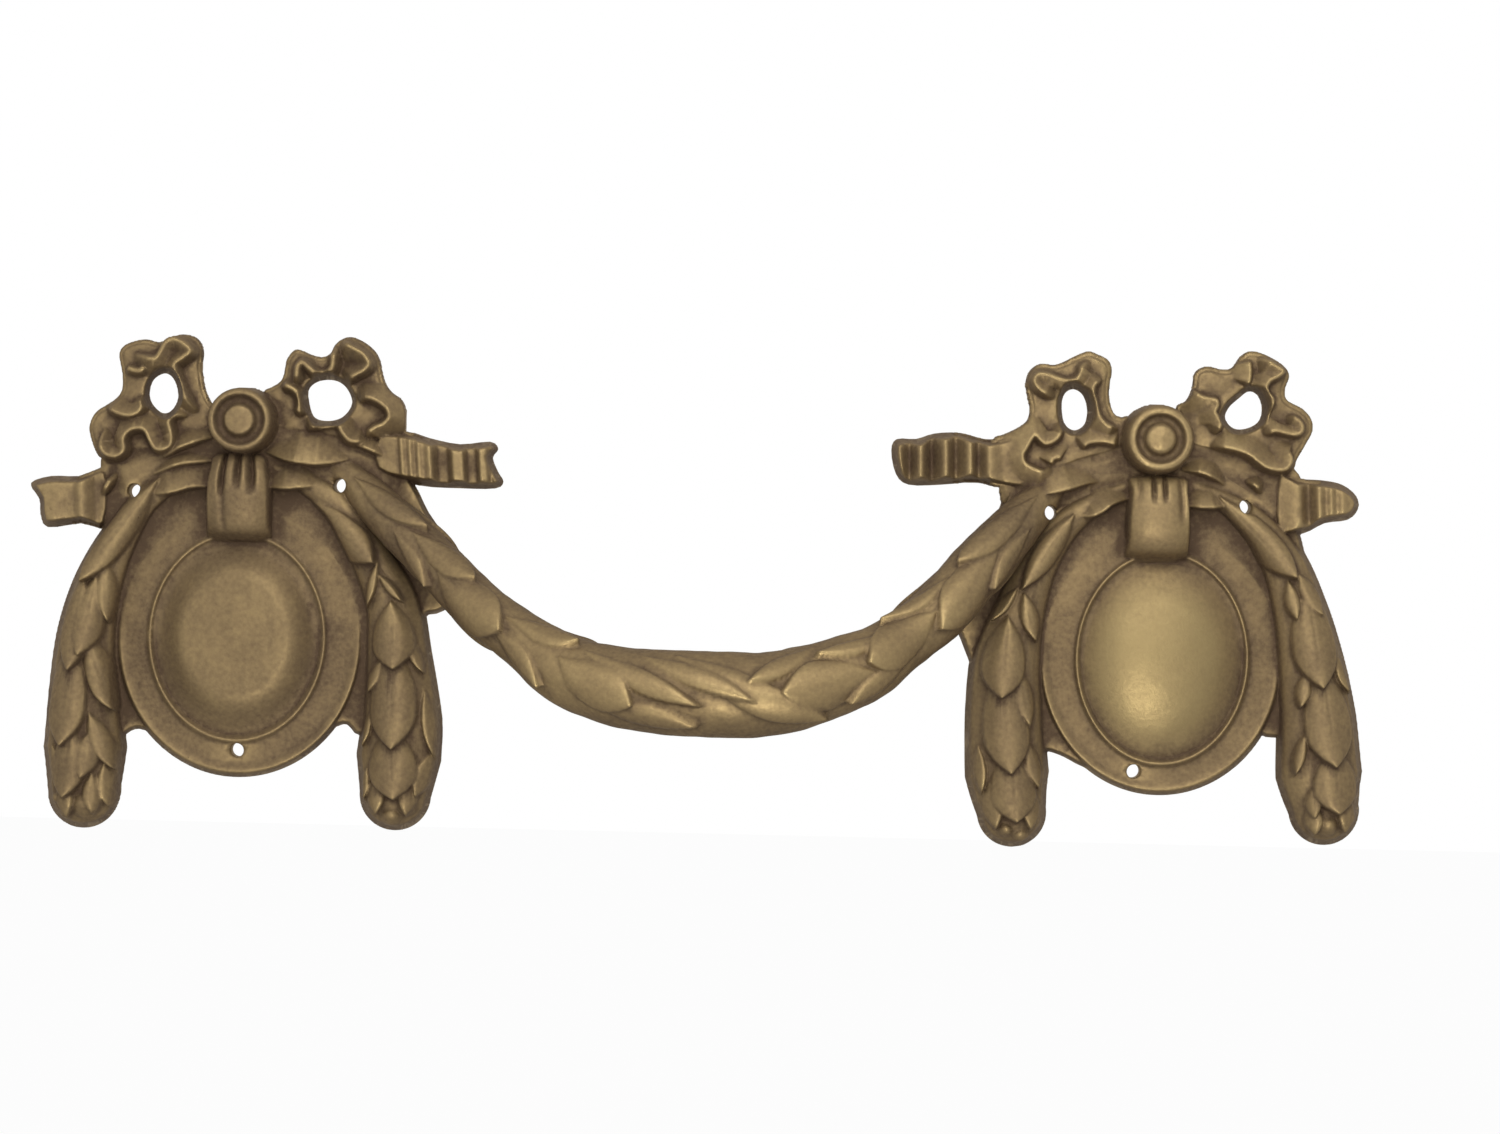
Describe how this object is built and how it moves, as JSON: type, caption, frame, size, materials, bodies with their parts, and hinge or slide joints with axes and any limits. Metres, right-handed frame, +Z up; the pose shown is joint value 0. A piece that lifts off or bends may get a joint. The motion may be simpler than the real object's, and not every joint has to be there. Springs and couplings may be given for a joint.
{
  "type": "cabinet handle",
  "caption": "Cast brass cabinet handle: oval back plates with ruffled ribbon bows and laurel garlands, joined by a bowed laurel swag that the fingers close round.",
  "frame": {"origin": "midway between the lower nail holes of the two plates, on the plane of the backs", "axes": "+X along the handle to the right as seen from the front, +Y into the cabinet, +Z up"},
  "size_m": [0.208, 0.0295, 0.0793],
  "materials": {
    "brass": "aged cast brass with dark patina in the recesses and worn high spots"
  },
  "bodies": {
    "root": {"handle_casting": "brass"}
  },
  "joints": []
}
